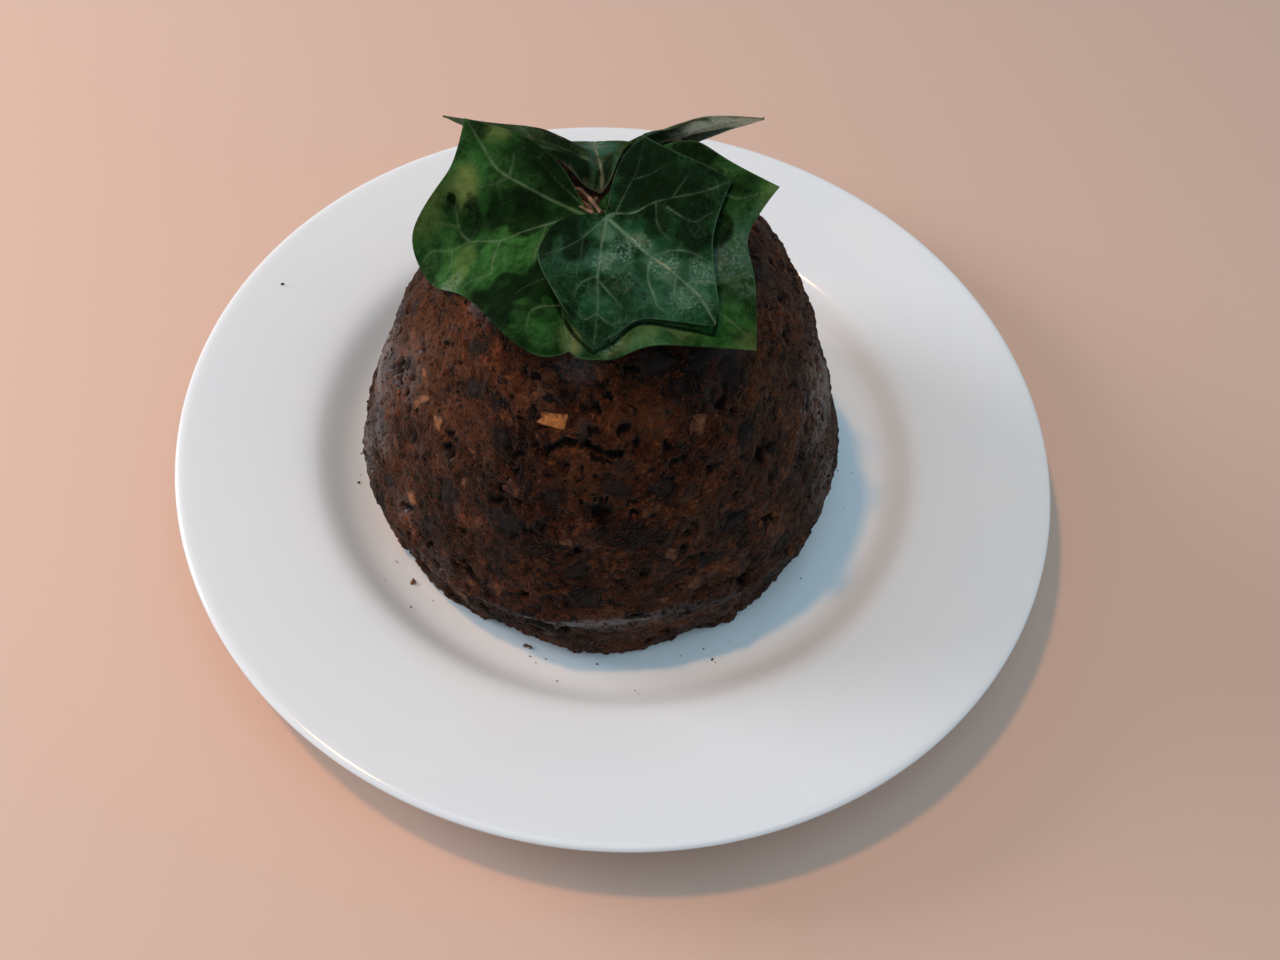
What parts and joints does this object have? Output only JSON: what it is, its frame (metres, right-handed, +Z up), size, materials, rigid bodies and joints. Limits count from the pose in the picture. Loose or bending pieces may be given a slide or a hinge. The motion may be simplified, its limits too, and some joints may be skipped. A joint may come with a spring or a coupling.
{
  "type": "christmas pudding on a plate",
  "caption": "Dark steamed fruit pudding turned out of a basin, standing on a wide-rimmed white dinner plate with a sprig of fresh ivy leaves laid on its crown",
  "frame": {"origin": "middle of the plate's foot, on the surface that it stands on", "axes": "+Z is up, -Y is the front, where the point of the front ivy leaf lies, and +X is to the right as seen from the front"},
  "size_m": [0.27, 0.27, 0.1385],
  "materials": {
    "porcelain": "gloss",
    "pudding_crumb": "satin",
    "leaf_green": "satin",
    "stem_bark": "matte"
  },
  "bodies": {
    "root": {"plate": "porcelain", "pudding": "pudding_crumb", "ivy_leaf_large": "leaf_green", "ivy_leaf_front": "leaf_green", "ivy_leaf_back": "leaf_green", "ivy_stem": "stem_bark"}
  },
  "joints": []
}
